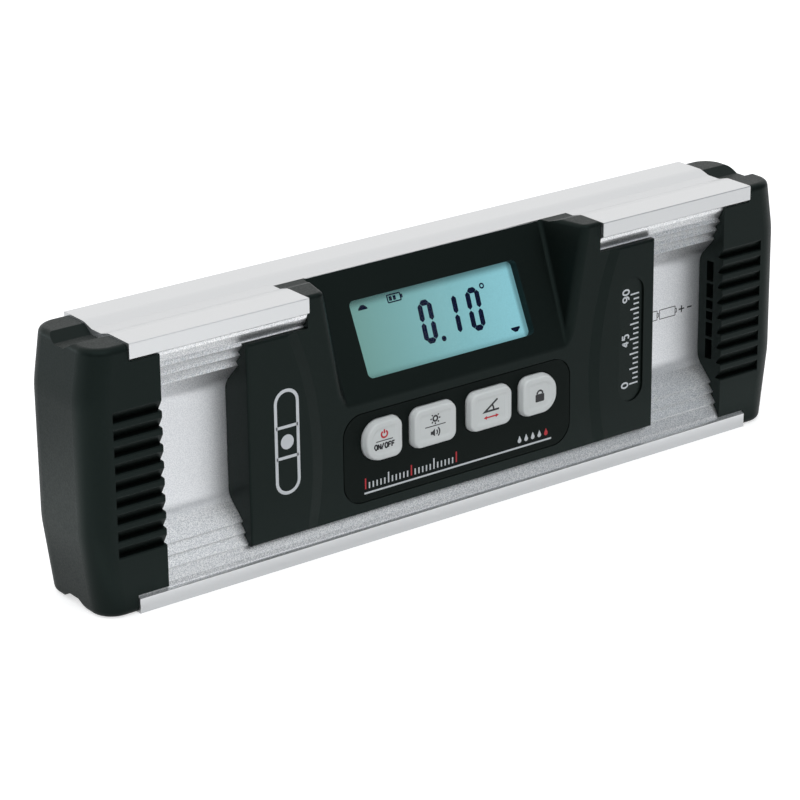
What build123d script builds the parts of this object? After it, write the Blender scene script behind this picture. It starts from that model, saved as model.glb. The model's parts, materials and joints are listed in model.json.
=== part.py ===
from build123d import *
import os
from math import atan2, cos, hypot, sin, tan

os.makedirs("parts", exist_ok=True)

# Beam: aluminium box section along X that stands on its lower strips, front towards -Y
beam_length = 204.0
beam_depth = 30.2
beam_height = 72.0
beam_wall = 1.9
flange_wall = 3.5
edge_radius = 0.25
groove_width = 11.4
groove_floor = 4.4
groove_depth = 1.05

# Side recess: setbacks behind the lip face and drops below the top strip
lip_height = 4.05
ledge_setback = 1.0
ledge_fall = 0.45
step_setback = 1.35
step_fall = 1.6
step_round = 0.8
root_setback = 3.0
root_drop = 8.25
rib_count = 3
rib_pitch = 2.85
rib_step = 0.95
rib_rise = 0.75
web_setback = 9.4
web_share = 0.2873
web_fillet = 5.0

# Cut-out in the front web and top flange for the electronics module
notch_length = 97.0
notch_back = -0.8
notch_floor = 19.0

# Fits between pieces
fit_gap = 0.15
seat_gap = 0.05
slide_gap = 0.25
overrun = 5.0

# Front housing
housing_length = 135.0
housing_draft = 1.0
block_setback = 0.6
block_margin = 8.5
centre_setback = 1.1
band_width = 3.4
band_top = 51.9
band_middle = 44.7
band_bottom = 46.8
band_low_height = 28.5
housing_wall = 2.0
housing_round = 0.7
post_round = 1.1
coring_margin = 2.1
coring_drop = 19.0
label_width = 8.6
label_height = 36.0
label_x = 55.2
label_depth = 0.5

# Display recess, an inclined panel between drafted side walls
crease_height = 39.2
panel_top_drop = 1.36
panel_wall = 2.6
panel_rim = 3.0
recess_width = 74.0
recess_top_width = 85.6
panel_top_inset = 3.5
recess_corner = 1.2
recess_round = 2.4
view_width = 55.4
view_foot = 5.5
view_head = 8.4
view_corner = 1.5

# Display stack behind the panel
window_margin = 2.0
window_thickness = 0.8
gasket_thickness = 0.3
lcd_margin = 2.3
lcd_thickness = 1.6
backlight_thickness = 1.5
frame_width = 74.0
frame_margin = 3.35
frame_back = 1.0
frame_window_margin = 2.0
frame_screw_x = 33.6
frame_screw_inset = 1.25

# Keypad
keypad_width = 75.8
keypad_height = 24.7
keypad_middle = 23.85
keypad_corner = 6.0
keypad_thickness = 0.6
keypad_gap = 0.25
key_height = 10.4
key_rise = 4.25
inner_key_width = 13.6
inner_key_x = 9.4
outer_key_width = 11.3
outer_key_x = 26.1
key_corner = 2.3
outer_key_corner = 4.7
key_draft = 0.45
key_proud = 2.0
key_skirt = 0.4
key_round = 0.6
key_rim = 1.3
dish_depth = 0.25
dish_slope = 0.8
key_flange = 1.1
key_flange_thickness = 0.9
key_travel = 0.7

# Switches and circuit board
switch_size = 6.0
switch_height = 2.1
stem_diameter = 3.0
switch_floor = 0.2
board_width = 88.0
board_head = 0.3
board_thickness = 1.2
board_front = 7.2
board_foot = 0.4
board_screw_inset = 2.2
boss_diameter = 4.4
sensor_size = 8.0
sensor_height = 2.2
sensor_x = -24.0
chip_size = 10.0
chip_height = 1.6
chip_offset = 13.0
buzzer_diameter = 12.0
buzzer_height = 5.0
buzzer_inset = 11.0
ribbon_width = 28.0
ribbon_thickness = 0.3

# Rear cover of the module, inside the beam
cover_wall = 1.6
cover_gap = 0.5
cover_bulge = 4.6
cover_top_gap = 0.8
cover_screw_x = 43.0
cover_screw_low = 43.5
cover_screw_drop = 8.0

# Screws
small_shank = 2.0
small_head = 3.8
small_head_height = 1.2
large_shank = 3.0
large_head = 5.8
large_head_height = 2.0
large_length = 12.0
small_length = 4.5
drive_depth = 0.7
pillar_diameter = 6.0
pillar_x = 57.9
pillar_inset = 5.6

# End caps
cap_length = 12.7
cap_setback = 0.6
cap_top_drop = 0.5
cap_foot = 0.1
cap_bevel_top = 2.2
cap_bevel_base = 2.8
cap_bevel_head = 13.9
cap_bevel_foot = 21.0
cap_corner = 6.5
cap_bevel_round = 28.0
cap_rim_round = 1.8
cap_groove_depth = 2.0
cap_groove_round = 0.6
wing_length = 9.0
wing_draft = 0.9
wing_margin = 4.8
wing_round = 0.25
plug_length = 9.0
plug_wall = 1.8
plug_floor = 22.0
cap_hollow = 6.0
grip_count = 9
grip_pitch = 4.48
grip_height = 2.8
grip_drop = 0.35
grip_reach = 14.2
grip_depth = 1.9
grip_round = 0.45
pocket_lengths = (5.8, 4.2, 2.5, 2.5, 4.2, 5.8)
pocket_rib = 0.8
pocket_width = 2.4
pocket_setback = 3.5
pocket_depth = 5.0

# Battery tube and cells
cell_diameter = 10.5
cell_length = 44.5
nub_diameter = 3.8
nub_length = 1.2
tube_bore = 10.9
tube_wall = 0.9
tube_end = 1.4
tube_inset = 0.5
tube_flange = 2.0
tube_rail_width = 4.0
tube_rail_rise = 0.3
foot_length = 8.0
foot_width = 5.0
spigot_length = 3.6
seal_width = 1.2
seal_groove = 0.9
contact_gap = 3.4
contact_thickness = 0.4
contact_width = 5.0
contact_diameter = 8.0
pin_diameter = 2.0
pin_length = 1.5
strip_width = 3.0
strip_thickness = 0.3
lead_diameter = 1.1
lead_spacing = 3.0
lead_bend = 2.0
lead_setback = 5.75
lead_forward = 1.6
lead_height = 28.0
grommet_lip = 0.7
grommet_flange = 0.6

# Places that follow from the sizes above, as distances forward of the beam's middle plane
lip_face = beam_depth / 2
web_face = lip_face - web_setback
web_inner = web_face - beam_wall
block_face = lip_face - block_setback
centre_face = lip_face - centre_setback
cap_face = lip_face - cap_setback
cap_start = beam_length / 2 + seat_gap
middle_height = beam_height / 2
web_drop = web_share * beam_height
shoulder_setback = root_setback + (rib_count - 1) * rib_step
shoulder_drop = root_drop + (rib_count - 1) * rib_pitch
key_middle = keypad_middle + key_rise
module_half = notch_length / 2 - fit_gap
module_back = notch_back + fit_gap
module_floor = notch_floor + fit_gap
cavity_half = module_half - housing_wall
cavity_floor = module_floor + housing_wall
keypad_inner = centre_face - keypad_thickness - housing_wall
block_top = beam_height - block_margin
panel_top_height = beam_height - panel_top_drop
panel_climb = panel_top_height - crease_height
panel_run = centre_face - module_back
panel_top = hypot(panel_climb, panel_run)
tilt = atan2(panel_run, panel_climb)
view_height = panel_top - view_foot - view_head
view_middle = view_foot + view_height / 2
panel = Plane(
    origin=(0, -centre_face, crease_height), x_dir=(1, 0, 0), z_dir=(0, -cos(tilt), sin(tilt))
)


def block(x_span, y_span, z_span, mode=Mode.ADD):
    """Add or cut a rectangular block between the given limits."""
    spans = (x_span, y_span, z_span)
    middle = tuple((low + high) / 2 for low, high in spans)
    with Locations(middle):
        Box(*(high - low for low, high in spans), mode=mode)


def rod(diameter, start, end, x, z, mode=Mode.ADD):
    """Add or cut a round rod along Y from one forward distance back to another."""
    with BuildSketch(Plane.XZ.offset(end)) as disc:
        with Locations((x, z)):
            Circle(diameter / 2)
    extrude(disc.sketch, amount=start - end, mode=mode)


def rod_along_x(diameter, low, high, z, mode=Mode.ADD):
    """Add or cut a round rod along X on the middle plane."""
    with BuildSketch(Plane.YZ.offset(low)) as disc:
        with Locations((0, z)):
            Circle(diameter / 2)
    extrude(disc.sketch, amount=high - low, mode=mode)


def recess_points(gap):
    """Corners of the front recess in Y and Z, moved towards the front by gap."""
    upper = [
        (-overrun, lip_height),
        (0, lip_height),
        (ledge_setback, lip_height + ledge_fall),
        (step_setback, lip_height + step_fall),
    ]
    for rib in range(rib_count):
        setback = root_setback + rib * rib_step
        drop = root_drop + rib * rib_pitch
        upper.append((setback, drop))
        upper.append((setback - rib_rise, drop + rib_rise))
    upper.append((web_setback, web_drop))
    top = [(setback - lip_face - gap, beam_height - drop) for setback, drop in upper]
    return top + [(y, beam_height - z) for y, z in reversed(top)]


def hollow_points(gap):
    """Corners of the beam's hollow in Y and Z, drawn in by gap."""
    upper = [
        (root_setback, flange_wall + gap),
        (root_setback, root_drop),
        (shoulder_setback, shoulder_drop),
        (web_setback, web_drop),
    ]
    inner = lip_face - beam_wall - gap
    right = [(inner - setback, beam_height - drop) for setback, drop in upper]
    right += [(y, beam_height - z) for y, z in reversed(right)]
    return right + [(-y, z) for y, z in reversed(right)]


def round_corners(forward, radius):
    """Round the section's corners at one distance forward or back of the middle plane."""
    corners = vertices().filter_by(lambda corner: abs(abs(corner.X) - forward) < 1e-4)
    fillet(corners, radius)


def strip_grooves(depth, drop=0.0):
    """Cut the groove along the top strip and the base strip of a section."""
    slope = (groove_width - groove_floor) / 2 / depth
    half = groove_floor / 2
    rise = depth + overrun
    groove = [(-half, 0), (half, 0), (half + slope * rise, rise), (-half - slope * rise, rise)]
    floor = beam_height - drop - depth
    Polygon(*[(y, floor + z) for y, z in groove], align=None, mode=Mode.SUBTRACT)
    Polygon(*[(y, beam_height - floor - z) for y, z in groove], align=None, mode=Mode.SUBTRACT)


def filler_section(front, margin, front_round):
    """Draw the section of a piece that fills the front recess against its ribs and web."""
    Polygon(*recess_points(fit_gap), align=None)
    round_corners(web_face + fit_gap, web_fillet)
    with Locations((-front / 2, middle_height)):
        Rectangle(front, beam_height - 2 * margin, mode=Mode.INTERSECT)
    fillet(vertices().group_by(Axis.X)[0], front_round)


pillar_low = web_drop + pillar_inset
pillar_places = [
    (side * pillar_x, z) for side in (-1, 1) for z in (pillar_low, beam_height - pillar_low)
]
pillar_hole = pillar_diameter + 2 * slide_gap

with BuildPart() as beam:
    with BuildSketch(Plane.YZ):
        with Locations((0, middle_height)):
            Rectangle(beam_depth, beam_height)
        fillet(vertices(), edge_radius)
        strip_grooves(groove_depth)
        Polygon(*recess_points(0), align=None, mode=Mode.SUBTRACT)
        Polygon(*[(-y, z) for y, z in recess_points(0)], align=None, mode=Mode.SUBTRACT)
        round_corners(web_face, web_fillet)
        round_corners(lip_face - ledge_setback, step_round)
        round_corners(lip_face - step_setback, step_round)
        Polygon(*hollow_points(0), align=None, mode=Mode.SUBTRACT)
    extrude(amount=beam_length / 2, both=True)
    notch_half = notch_length / 2
    block(
        (-notch_half, notch_half),
        (-lip_face - overrun, -notch_back),
        (notch_floor, beam_height + overrun),
        mode=Mode.SUBTRACT,
    )
    for x, z in pillar_places:
        rod(pillar_hole, web_face + seat_gap, web_inner - seat_gap, x, z, Mode.SUBTRACT)
        rod(large_shank + 2 * slide_gap, 0, -web_face - seat_gap, x, z, Mode.SUBTRACT)
beam.part.label = "beam"
export_step(beam.part, "parts/beam.step")

tube_diameter = tube_bore + 2 * tube_wall
tube_height = flange_wall + seat_gap + tube_diameter / 2
tube_mouth = beam_length / 2 - tube_inset
spigot_tip = cap_start - spigot_length
spigot_diameter = tube_bore - 2 * slide_gap
seal_middle = cap_start - spigot_length / 2
cell_end = spigot_tip - contact_gap
cell_starts = (cell_end - 2 * cell_length, cell_end - cell_length)
plate_start = cell_starts[0] - contact_thickness
tube_start = plate_start - tube_end
rail_top = tube_height + tube_diameter / 2 + tube_rail_rise
tail_end = tube_start - pin_length
lead_x = tail_end - lead_setback


def cap_wing():
    """Wing of one cap over the front recess, with drafted inner edge, coring and grip grooves."""
    base = beam_length / 2 - wing_length
    foot = base - wing_draft
    with BuildPart() as wing:
        with BuildSketch(Plane.YZ.offset(foot)):
            filler_section(cap_face, wing_margin, wing_round)
        extrude(amount=cap_start + 1 - foot)
        plan = [
            (base, -cap_face - seat_gap),
            (foot, -web_face),
            (cap_start + 1, -web_face),
            (cap_start + 1, -cap_face - seat_gap),
        ]
        with BuildSketch(Plane.XY):
            Polygon(*plan, align=None)
        extrude(amount=beam_height, mode=Mode.INTERSECT)
        pocket_end = middle_height + (sum(pocket_lengths) + pocket_rib * (len(pocket_lengths) - 1)) / 2
        for length in pocket_lengths:
            block(
                (foot, base + pocket_depth),
                (-cap_face + pocket_setback, -cap_face + pocket_setback + pocket_width),
                (pocket_end - length, pocket_end),
                mode=Mode.SUBTRACT,
            )
            pocket_end -= length + pocket_rib
    return wing.part


with BuildPart() as cap:
    end = cap_start + cap_length
    top = beam_height - cap_top_drop
    outline = [
        (cap_start, cap_foot),
        (end - cap_bevel_base, cap_foot),
        (end, cap_foot + cap_bevel_foot),
        (end, top - cap_bevel_head),
        (end - cap_bevel_top, top),
        (cap_start, top),
    ]
    with BuildSketch(Plane.XZ):
        Polygon(*outline, align=None)
        fillet(vertices().group_by(Axis.X)[-1], cap_bevel_round)
    extrude(amount=cap_face, both=True)
    on_faces = edges().filter_by(lambda edge: abs(abs(edge.center().Y) - cap_face) < 1e-4)
    corners = on_faces.filter_by(
        lambda edge: edge.center().X > cap_start + 1 and cap_foot + 1 < edge.center().Z < top - 1
    )
    fillet(corners, cap_corner)
    level = edges().filter_by(
        lambda edge: min(abs(edge.center().Z - top), abs(edge.center().Z - cap_foot)) < 1e-4
    )
    fillet(level.filter_by(lambda edge: edge.center().X > cap_start + 1), cap_rim_round)
    with BuildSketch(Plane.YZ.offset(cap_start)):
        with Locations((0, (cap_foot + top) / 2)):
            Rectangle(2 * cap_face, top - cap_foot)
        strip_grooves(cap_groove_depth, cap_top_drop)
        inside = vertices().filter_by(lambda corner: abs(corner.X) < groove_width)
        fillet(inside, cap_groove_round)
    extrude(amount=cap_length, mode=Mode.INTERSECT)
    wing = cap_wing()
    add(wing)
    add(wing.mirror(Plane.XZ))
    with BuildSketch(Plane.YZ.offset(beam_length / 2 - plug_length)):
        Polygon(*hollow_points(fit_gap), align=None)
        with Locations((0, plug_floor)):
            Rectangle(
                beam_depth,
                beam_height,
                align=(Align.CENTER, Align.MIN),
                mode=Mode.INTERSECT,
            )
    extrude(amount=plug_length + 2 * seat_gap)
    with BuildSketch(Plane.YZ.offset(beam_length / 2 - plug_length)):
        Polygon(*hollow_points(fit_gap + plug_wall), align=None)
        with Locations((0, plug_floor + plug_wall)):
            Rectangle(
                beam_depth,
                beam_height,
                align=(Align.CENTER, Align.MIN),
                mode=Mode.INTERSECT,
            )
    extrude(amount=plug_length + cap_hollow, mode=Mode.SUBTRACT)
    grip_start = beam_length / 2 - wing_length - wing_draft
    grip_low = middle_height - grip_drop - (grip_pitch * (grip_count - 1) + grip_height) / 2
    with BuildSketch(Plane.YZ.offset(grip_start)):
        for grip in range(grip_count):
            low = grip_low + grip * grip_pitch
            for side in (-1, 1):
                Polygon(
                    (side * (cap_face + overrun), low),
                    (side * (cap_face - grip_depth), low),
                    (side * cap_face, low + grip_height),
                    (side * (cap_face + overrun), low + grip_height),
                    align=None,
                )
    extrude(amount=grip_reach + wing_draft, mode=Mode.SUBTRACT)
    grip_lines = edges().filter_by(Axis.X).filter_by(
        lambda edge: abs(abs(edge.center().Y) - cap_face) < 1e-4 and edge.length > wing_length
    )
    fillet(grip_lines, grip_round)

with BuildPart() as left_end_cap:
    add(cap.part.mirror(Plane.YZ))
left_end_cap.part.label = "left_end_cap"
export_step(left_end_cap.part, "parts/left_end_cap.step")

with BuildPart() as right_end_cap:
    add(cap.part)
    rod_along_x(spigot_diameter, spigot_tip, cap_start, tube_height)
    seal_low = seal_middle - seal_width / 2
    with BuildSketch(Plane.YZ.offset(seal_low)):
        with Locations((0, tube_height)):
            Circle(spigot_diameter / 2)
            Circle(spigot_diameter / 2 - seal_groove, mode=Mode.SUBTRACT)
    extrude(amount=seal_width, mode=Mode.SUBTRACT)
right_end_cap.part.label = "right_end_cap"
export_step(right_end_cap.part, "parts/right_end_cap.step")

# Keys from left to right: name, place along X, width, and the side with the large corners
keys = [
    ("power", -outer_key_x, outer_key_width, -1),
    ("light", -inner_key_x, inner_key_width, 0),
    ("mode", inner_key_x, inner_key_width, 0),
    ("hold", outer_key_x, outer_key_width, 1),
]
flange_front = keypad_inner - seat_gap
flange_rear = flange_front - key_flange_thickness


def key_outline(x, width, side, grow, mode=Mode.ADD):
    """Draw one key's outline, grown all round; the outer keys have one full side."""
    left = outer_key_corner if side < 0 else key_corner
    right = outer_key_corner if side > 0 else key_corner
    with BuildSketch(mode=Mode.PRIVATE) as outline:
        Rectangle(width + 2 * grow, key_height + 2 * grow)
        fillet(vertices().group_by(Axis.X)[0], left + grow)
        fillet(vertices().group_by(Axis.X)[-1], right + grow)
    with Locations((x, key_middle)):
        add(outline.sketch, mode=mode)


def display_slice(height):
    """Draw the plan of the display recess at one height, open past the front."""
    climb = height - crease_height
    rise = climb / panel_climb
    flare = panel_top_inset / panel_run
    half = (recess_width + rise * (recess_top_width - recess_width)) / 2
    back = climb * tan(tilt)
    mouth = half + flare * overrun
    foot = half - flare * back
    Polygon(
        (-mouth, -centre_face - overrun),
        (mouth, -centre_face - overrun),
        (foot, -centre_face + back),
        (-foot, -centre_face + back),
        align=None,
    )
    fillet(vertices().group_by(Axis.Y)[-1], recess_corner)


def centre_outline(spread):
    """Draw the outline of the set-back centre face, whose sides bow towards the keypad."""
    low = block_margin
    right = [(band_bottom, low), (band_middle, band_low_height), (band_top, block_top)]
    right = [(x + spread, z) for x, z in right]
    left = [(-x, z) for x, z in reversed(right)]
    with BuildLine() as outline:
        ThreePointArc(*right)
        Polyline(right[2], (right[2][0], block_top + overrun), (left[0][0], block_top + overrun), left[0])
        ThreePointArc(*left)
        Polyline(left[2], (left[2][0], low - overrun), (right[0][0], low - overrun), right[0])
    make_face(outline.line)


def grommet_slot(radius):
    """Draw the slot outline round both leads, at a distance from each lead's axis."""
    with Locations((lead_x - lead_spacing / 2, -lead_forward)):
        SlotCenterToCenter(lead_spacing, 2 * radius)


def panel_point(along, depth):
    """Y and Z of a point at a slope distance up the panel and a depth behind it."""
    return (
        -centre_face + along * sin(tilt) + depth * cos(tilt),
        crease_height + along * cos(tilt) - depth * sin(tilt),
    )


grommet_radius = lead_diameter / 2 + grommet_lip / 2
window_depth = panel_wall + gasket_thickness
lcd_depth = window_depth + window_thickness
backlight_depth = lcd_depth + lcd_thickness
frame_depth = backlight_depth + backlight_thickness
frame_end = frame_depth + frame_back
frame_foot = panel_point(view_foot - frame_margin, frame_end)
board_floor = cavity_floor + board_foot
board_top = frame_foot[1] - board_head
board_back = board_front - board_thickness
board_screw_x = board_width / 2 - board_screw_inset
board_screws_at = [
    (side * board_screw_x, z)
    for side in (-1, 1)
    for z in (board_floor + board_screw_inset, board_top - board_screw_inset)
]
cover_screws_at = [
    (side * cover_screw_x, z) for side in (-1, 1) for z in (cover_screw_low, beam_height - cover_screw_drop)
]
frame_screw_s = view_height / 2 - frame_screw_inset
frame_screws_at = [
    (side * frame_screw_x, view_middle + end * frame_screw_s) for side in (-1, 1) for end in (-1, 1)
]
pilot = small_shank + 2 * seat_gap
large_pilot = large_shank + 2 * seat_gap
pillar_end = -web_inner + fit_gap

with BuildPart() as front_housing:
    half = housing_length / 2
    foot = half + housing_draft
    with BuildSketch(Plane.YZ):
        filler_section(block_face, block_margin, housing_round)
    extrude(amount=foot, both=True)
    with BuildSketch(Plane.XY):
        proud = block_face + seat_gap
        Polygon((-half, -proud), (half, -proud), (foot, -web_face), (-foot, -web_face), align=None)
        fillet(vertices().group_by(Axis.Y)[0], housing_round)
    extrude(amount=beam_height, mode=Mode.INTERSECT)
    with BuildSketch(Plane.XZ.offset(centre_face)):
        centre_outline(0)
    with BuildSketch(Plane.XZ.offset(block_face)):
        centre_outline(band_width)
    loft(ruled=True, mode=Mode.SUBTRACT)
    with BuildSketch(Plane.YZ):
        Polygon(
            (-centre_face, module_floor),
            (-centre_face, beam_height),
            (-groove_width / 2, beam_height),
            (-groove_floor / 2, beam_height - groove_depth),
            (-module_back, beam_height - groove_depth),
            (-module_back, module_floor),
            align=None,
        )
    extrude(amount=module_half, both=True)
    with BuildSketch(Plane.XY.offset(crease_height)):
        display_slice(crease_height)
    with BuildSketch(Plane.XY.offset(beam_height + overrun)):
        display_slice(beam_height + overrun)
    loft(ruled=True, mode=Mode.SUBTRACT)

    # Rounded rim of the recess and rounded post tops
    on_centre = edges().filter_by_position(Axis.Y, -centre_face - seat_gap, -centre_face + seat_gap)
    recess_rim = on_centre.filter_by_position(Axis.Z, crease_height - 1, beam_height - 1).filter_by(
        lambda edge: abs(edge.center().X) < recess_top_width / 2
    )
    fillet(recess_rim, recess_round)
    level_tops = edges().filter_by_position(Axis.Z, beam_height - seat_gap, beam_height + seat_gap)
    post_tops = level_tops.filter_by(
        lambda edge: edge.center().Y < -groove_width / 2 - 1 and abs(edge.center().X) < module_half - 1
    )
    fillet(post_tops, post_round)

    # Openings in the front
    with BuildSketch(Plane.XZ.offset(centre_face)):
        with Locations((0, keypad_middle)):
            RectangleRounded(keypad_width + 2 * keypad_gap, keypad_height + 2 * keypad_gap, keypad_corner)
    extrude(amount=-keypad_thickness, mode=Mode.SUBTRACT)
    with BuildSketch(Plane.XZ.offset(centre_face)):
        for name, x, width, side in keys:
            key_outline(x, width, side, key_draft + slide_gap)
    extrude(amount=keypad_inner - centre_face, mode=Mode.SUBTRACT)
    with BuildSketch(panel):
        with Locations((0, view_middle)):
            RectangleRounded(view_width, view_height, view_corner)
    extrude(amount=-panel_wall, mode=Mode.SUBTRACT)

    # Hollow for the electronics, open at the back
    block(
        (-cavity_half, cavity_half),
        (-keypad_inner, -module_back),
        (cavity_floor, crease_height),
        mode=Mode.SUBTRACT,
    )
    with BuildSketch(panel.offset(-panel_wall)):
        Rectangle(2 * cavity_half, panel_top - panel_rim, align=(Align.CENTER, Align.MIN))
    extrude(amount=-beam_depth, mode=Mode.SUBTRACT)

    with BuildSketch(Plane.XY.offset(module_floor)):
        grommet_slot(grommet_radius)
    extrude(amount=housing_wall, mode=Mode.SUBTRACT)
    with BuildSketch(panel.offset(-panel_wall)):
        with Locations(*frame_screws_at):
            Circle(pilot / 2)
    extrude(amount=panel_wall / 2, mode=Mode.SUBTRACT)

    # Cored side blocks with a pillar for each screw
    for side in (-1, 1):
        ends = sorted((side * (module_half + coring_margin), side * (half - coring_margin)))
        block(
            ends,
            (-block_face + housing_wall, -web_face),
            (coring_drop, beam_height - coring_drop),
            mode=Mode.SUBTRACT,
        )
    for x, z in pillar_places:
        rod(pillar_diameter, block_face - housing_wall, pillar_end, x, z)
        rod(large_pilot, pillar_end + large_length, pillar_end, x, z, Mode.SUBTRACT)
    for x, z in board_screws_at:
        rod(boss_diameter, keypad_inner, board_front, x, z)
        rod(pilot, board_front + small_length, board_front, x, z, Mode.SUBTRACT)
    for x, z in cover_screws_at:
        climb = max(z - crease_height, 0)
        rod(boss_diameter, centre_face - climb * tan(tilt) - panel_wall / 2, module_back, x, z)
        rod(pilot, module_back + small_length, module_back, x, z, Mode.SUBTRACT)

    # Sloping label recess in the right block
    slope = label_depth / label_width
    label_plane = Plane(
        origin=(label_x, -block_face, middle_height), x_dir=(1, slope, 0), z_dir=(slope, -1, 0)
    )
    with BuildSketch(label_plane):
        with Locations((label_width / 2, 0)):
            SlotOverall(label_height, label_width, rotation=90)
    extrude(amount=overrun, mode=Mode.SUBTRACT)
front_housing.part.label = "front_housing"
export_step(front_housing.part, "parts/front_housing.step")

with BuildPart() as keypad_panel:
    with BuildSketch(Plane.XZ.offset(centre_face - keypad_thickness)):
        with Locations((0, keypad_middle)):
            RectangleRounded(keypad_width, keypad_height, keypad_corner)
        for name, x, width, side in keys:
            key_outline(x, width, side, key_draft + slide_gap, mode=Mode.SUBTRACT)
    extrude(amount=keypad_thickness)
keypad_panel.part.label = "keypad_panel"
export_step(keypad_panel.part, "parts/keypad_panel.step")

switch_front = board_front + switch_height
stem_hole = stem_diameter + 2 * slide_gap
stem_tip = board_front + switch_floor + key_travel + fit_gap
key_skirt_front = centre_face + key_skirt
key_front = centre_face + key_proud

for name, x, width, side in keys:
    with BuildPart() as key:
        with BuildSketch(Plane.XZ.offset(flange_rear)):
            key_outline(x, width, side, key_flange)
        extrude(amount=key_flange_thickness)
        with BuildSketch(Plane.XZ.offset(flange_rear)):
            key_outline(x, width, side, key_draft)
        extrude(amount=key_skirt_front - flange_rear)
        with BuildSketch(Plane.XZ.offset(key_skirt_front)):
            key_outline(x, width, side, key_draft)
        with BuildSketch(Plane.XZ.offset(key_front)):
            key_outline(x, width, side, 0)
        loft(ruled=True)
        fillet(edges().group_by(Axis.Y)[0], key_round)
        with BuildSketch(Plane.XZ.offset(key_front)):
            key_outline(x, width, side, -key_rim)
        with BuildSketch(Plane.XZ.offset(key_front - dish_depth)):
            key_outline(x, width, side, -key_rim - dish_slope)
        loft(ruled=True, mode=Mode.SUBTRACT)
    key.part.label = name + "_key"
    export_step(key.part, "parts/" + name + "_key.step")
    with BuildPart() as stem:
        rod(stem_diameter, flange_rear, stem_tip, x, key_middle)
    stem.part.label = name + "_switch_stem"
    export_step(stem.part, "parts/" + name + "_switch_stem.step")

with BuildPart() as switch_bases:
    for name, x, width, side in keys:
        with Locations((x, -(board_front + switch_front) / 2, key_middle)):
            Box(switch_size, switch_height, switch_size)
        rod(stem_hole, switch_front, board_front + switch_floor, x, key_middle, Mode.SUBTRACT)
switch_bases.part.label = "switch_bases"
export_step(switch_bases.part, "parts/switch_bases.step")


def panel_plate(depth, thickness, margin, corner, mode=Mode.ADD):
    """Add or cut a rounded plate parallel to the panel, larger than the view by margin."""
    with BuildSketch(panel.offset(-depth)) as plate:
        with Locations((0, view_middle)):
            RectangleRounded(view_width + 2 * margin, view_height + 2 * margin, corner)
    extrude(plate.sketch, amount=-thickness, mode=mode)


lcd_foot = view_middle - view_height / 2 - lcd_margin
ribbon_depth = lcd_depth + lcd_thickness / 2

with BuildPart() as window_gasket:
    panel_plate(panel_wall, gasket_thickness, window_margin, view_corner)
    panel_plate(panel_wall, gasket_thickness, window_margin / 4, view_corner, Mode.SUBTRACT)
window_gasket.part.label = "window_gasket"
export_step(window_gasket.part, "parts/window_gasket.step")

with BuildPart() as display_window:
    panel_plate(window_depth, window_thickness, window_margin, view_corner)
display_window.part.label = "display_window"
export_step(display_window.part, "parts/display_window.step")

with BuildPart() as lcd_panel:
    panel_plate(lcd_depth, lcd_thickness, lcd_margin, edge_radius)
lcd_panel.part.label = "lcd_panel"
export_step(lcd_panel.part, "parts/lcd_panel.step")

with BuildPart() as backlight:
    panel_plate(backlight_depth, backlight_thickness, window_margin, edge_radius)
backlight.part.label = "backlight"
export_step(backlight.part, "parts/backlight.step")

with BuildPart() as display_frame:
    with BuildSketch(panel.offset(-panel_wall)):
        with Locations((0, view_middle)):
            RectangleRounded(frame_width, view_height + 2 * frame_margin, view_corner)
    extrude(amount=panel_wall - frame_end)
    panel_plate(panel_wall, frame_depth - panel_wall, lcd_margin + fit_gap, edge_radius, Mode.SUBTRACT)
    panel_plate(frame_depth, frame_back, -frame_window_margin, view_corner, Mode.SUBTRACT)
    with BuildSketch(panel.offset(-ribbon_depth)):
        with Locations((0, lcd_foot)):
            Rectangle(ribbon_width + 2 * slide_gap, 2 * window_margin)
    extrude(amount=2 * ribbon_thickness, both=True, mode=Mode.SUBTRACT)
    with BuildSketch(panel.offset(-panel_wall)):
        with Locations(*frame_screws_at):
            Circle(small_shank / 2 + slide_gap)
    extrude(amount=panel_wall - frame_end, mode=Mode.SUBTRACT)
display_frame.part.label = "display_frame"
export_step(display_frame.part, "parts/display_frame.step")

with BuildPart() as display_ribbon:
    board_skin = -board_front - ribbon_thickness / 2
    with BuildSketch(Plane.YZ):
        with BuildLine():
            Polyline(
                panel_point(lcd_foot, ribbon_depth),
                panel_point(lcd_foot - window_margin, ribbon_depth),
                (board_skin, board_top - window_margin / 2),
                (board_skin, board_top - 2 * window_margin),
            )
        trace(line_width=ribbon_thickness)
    extrude(amount=ribbon_width / 2, both=True)
display_ribbon.part.label = "display_ribbon"
export_step(display_ribbon.part, "parts/display_ribbon.step")

with BuildPart() as main_board:
    block(
        (-board_width / 2, board_width / 2),
        (-board_front, -board_back),
        (board_floor, board_top),
    )
    for x, z in board_screws_at:
        rod(small_shank + 2 * slide_gap, board_front, board_back, x, z, Mode.SUBTRACT)
main_board.part.label = "main_board"
export_step(main_board.part, "parts/main_board.step")

board_middle = (board_floor + board_top) / 2

with BuildPart() as tilt_sensor:
    with Locations((sensor_x, -board_back + sensor_height / 2, board_middle)):
        Box(sensor_size, sensor_height, sensor_size)
tilt_sensor.part.label = "tilt_sensor"
export_step(tilt_sensor.part, "parts/tilt_sensor.step")

with BuildPart() as controller_chip:
    with Locations((lead_x + chip_offset, -board_back + chip_height / 2, board_middle)):
        Box(chip_size, chip_height, chip_size)
controller_chip.part.label = "controller_chip"
export_step(controller_chip.part, "parts/controller_chip.step")

with BuildPart() as buzzer:
    buzzer_x = board_width / 2 - buzzer_inset
    rod(buzzer_diameter, board_back, board_back - buzzer_height, buzzer_x, board_middle)
buzzer.part.label = "buzzer"
export_step(buzzer.part, "parts/buzzer.step")

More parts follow.
